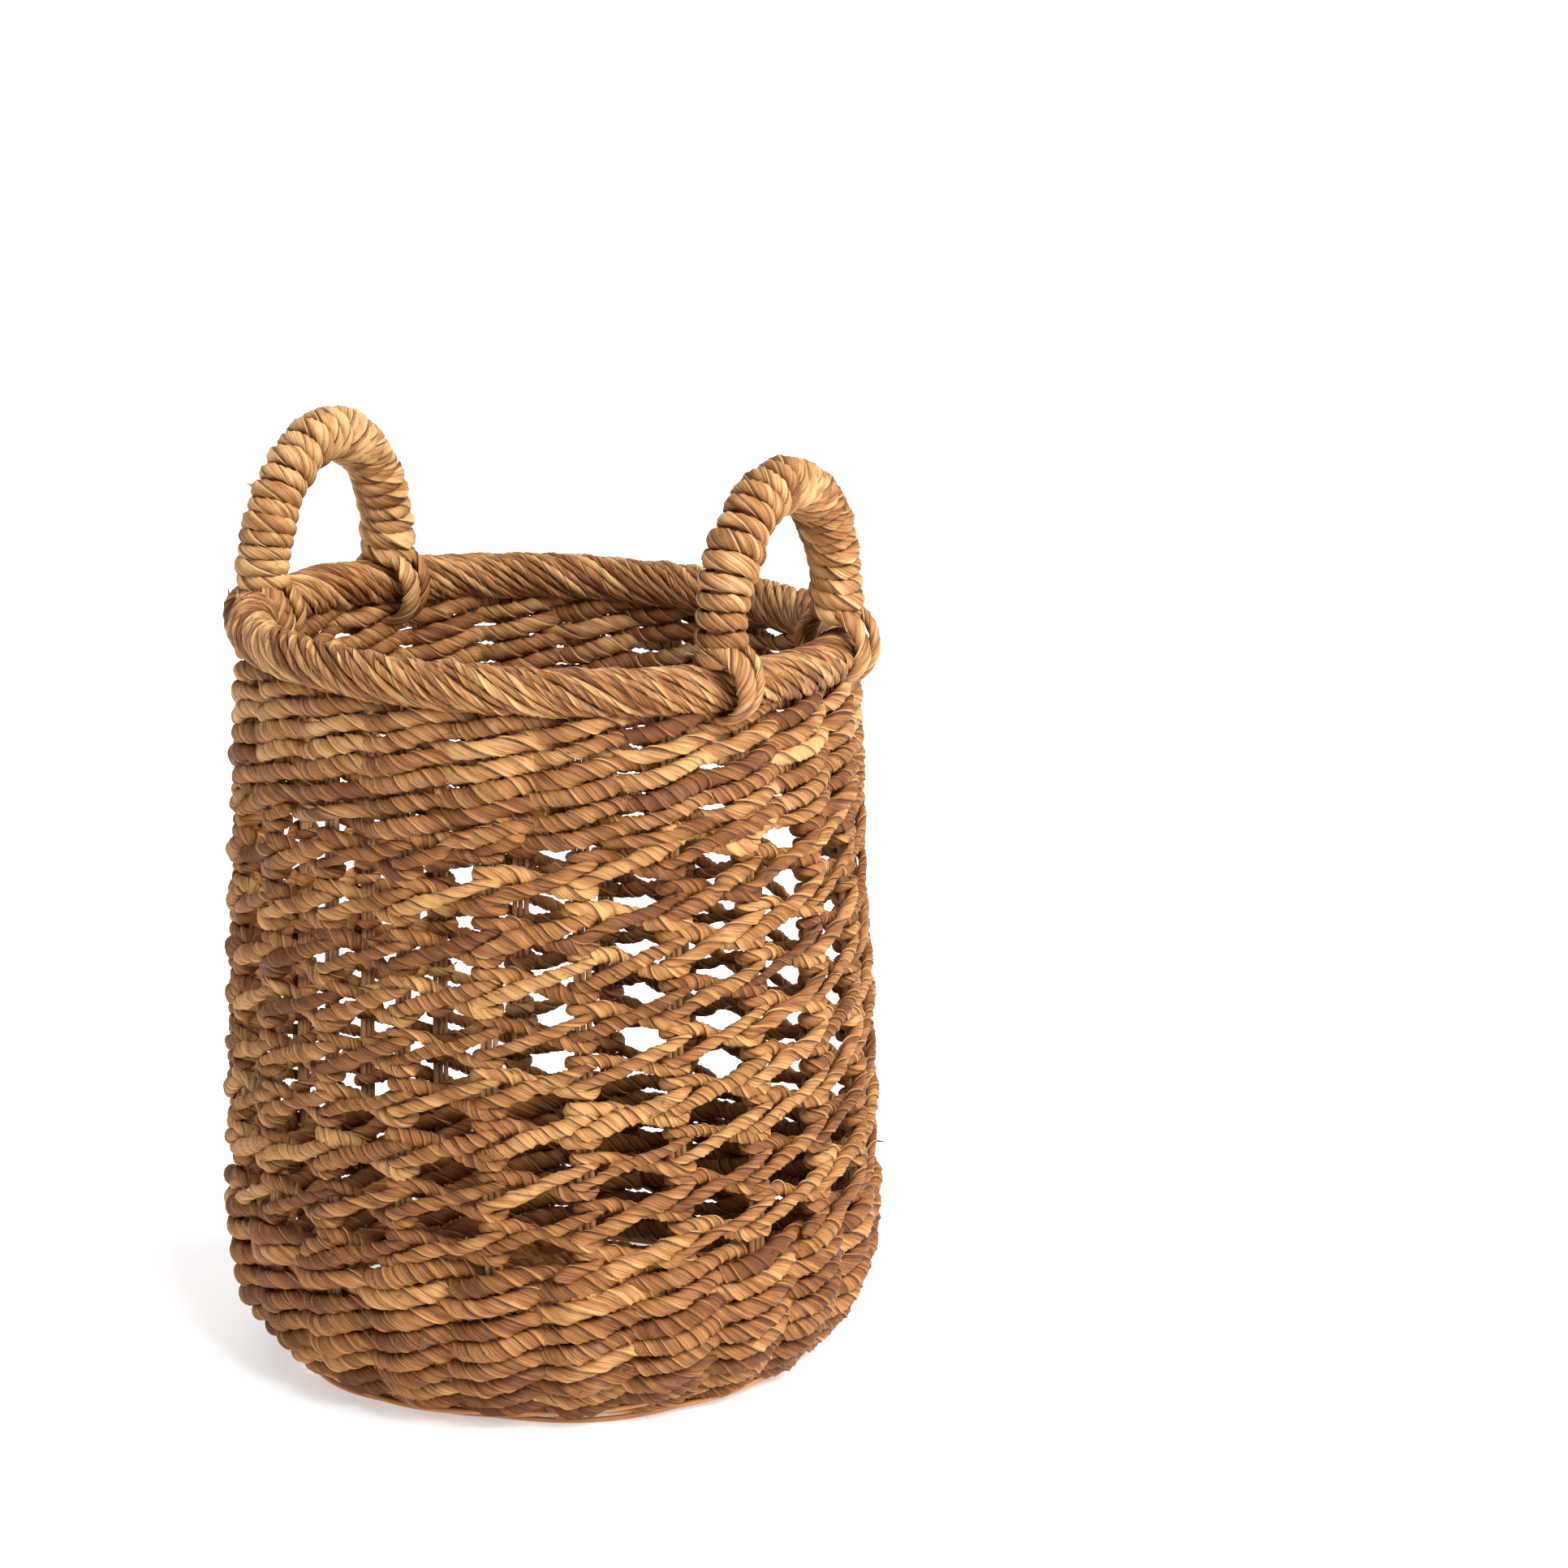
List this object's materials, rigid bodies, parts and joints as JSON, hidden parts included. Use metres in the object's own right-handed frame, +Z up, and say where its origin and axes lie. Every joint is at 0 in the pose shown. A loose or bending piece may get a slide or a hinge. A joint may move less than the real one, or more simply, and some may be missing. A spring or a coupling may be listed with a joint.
{
  "type": "woven laundry basket",
  "caption": "Round woven laundry basket with an open spiral lattice wall, close-woven top and bottom bands, a roped rim and two wrapped loop handles that rock on the rim.",
  "frame": {"origin": "centre of the resting face, on the floor under the middle of the base", "axes": "+Z up out of the mouth; +X through the middle of the right handle; -X through the middle of the left handle"},
  "size_m": [0.3918, 0.3878, 0.5405],
  "materials": {
    "leaf_lower": "twisted dried leaf strand, satin",
    "leaf_lattice": "twisted dried leaf strand, satin",
    "leaf_upper": "twisted dried leaf strand, paler, satin",
    "leaf_rim": "roped dried leaf cord, satin",
    "leaf_handle": "coiled dried leaf strand, satin",
    "leaf_base": "woven dried leaf strand, dull",
    "rattan_stake": "thin peeled rattan rod, satin",
    "rattan_hoop": "smooth rattan rod, satin"
  },
  "bodies": {
    "basket": {"stake_01": "rattan_stake", "stake_02": "rattan_stake", "stake_03": "rattan_stake", "stake_04": "rattan_stake", "stake_05": "rattan_stake", "stake_06": "rattan_stake", "stake_07": "rattan_stake", "stake_08": "rattan_stake", "stake_09": "rattan_stake", "stake_10": "rattan_stake", "stake_11": "rattan_stake", "stake_12": "rattan_stake", "stake_13": "rattan_stake", "stake_14": "rattan_stake", "stake_15": "rattan_stake", "stake_16": "rattan_stake", "stake_17": "rattan_stake", "stake_18": "rattan_stake", "stake_19": "rattan_stake", "stake_20": "rattan_stake", "stake_21": "rattan_stake", "stake_22": "rattan_stake", "lower_course_1": "leaf_lower", "lower_course_2": "leaf_lower", "lower_course_3": "leaf_lower", "lower_course_4": "leaf_lower", "lower_course_5": "leaf_lower", "lower_course_6": "leaf_lower", "lower_course_7": "leaf_lower", "lower_course_8": "leaf_lower", "upper_course_1": "leaf_upper", "upper_course_2": "leaf_upper", "upper_course_3": "leaf_upper", "upper_course_4": "leaf_upper", "upper_course_5": "leaf_upper", "upper_course_6": "leaf_upper", "lattice_pair_1": "leaf_lattice", "lattice_pair_2": "leaf_lattice", "lattice_pair_3": "leaf_lattice", "lattice_pair_4": "leaf_lattice", "lattice_pair_5": "leaf_lattice", "lattice_pair_6": "leaf_lattice", "lattice_pair_7": "leaf_lattice", "lattice_pair_8": "leaf_lattice", "base_weave_under": "leaf_base", "base_spokes": "rattan_stake", "base_weave_over": "leaf_base", "foot_hoop_lower": "rattan_hoop", "foot_hoop_upper": "rattan_hoop", "rim_hoop": "rattan_hoop", "rim_border": "leaf_rim"},
    "handle_left": {"handle_left_core": "rattan_hoop", "handle_left_wrap": "leaf_handle", "handle_left_lashing_front": "leaf_handle", "handle_left_lashing_back": "leaf_handle"},
    "handle_right": {"handle_right_core": "rattan_hoop", "handle_right_wrap": "leaf_handle", "handle_right_lashing_front": "leaf_handle", "handle_right_lashing_back": "leaf_handle"}
  },
  "joints": [
    {"name": "handle_right_rock", "type": "hinge", "parent": "basket", "child": "handle_right", "pos_m": [0.15777, 0, 0.4245], "axis": [0, 1, 0], "range_deg": [-18, 18]},
    {"name": "handle_left_rock", "type": "hinge", "parent": "basket", "child": "handle_left", "pos_m": [-0.15777, 0, 0.4245], "axis": [0, -1, 0], "range_deg": [-18, 18]}
  ]
}
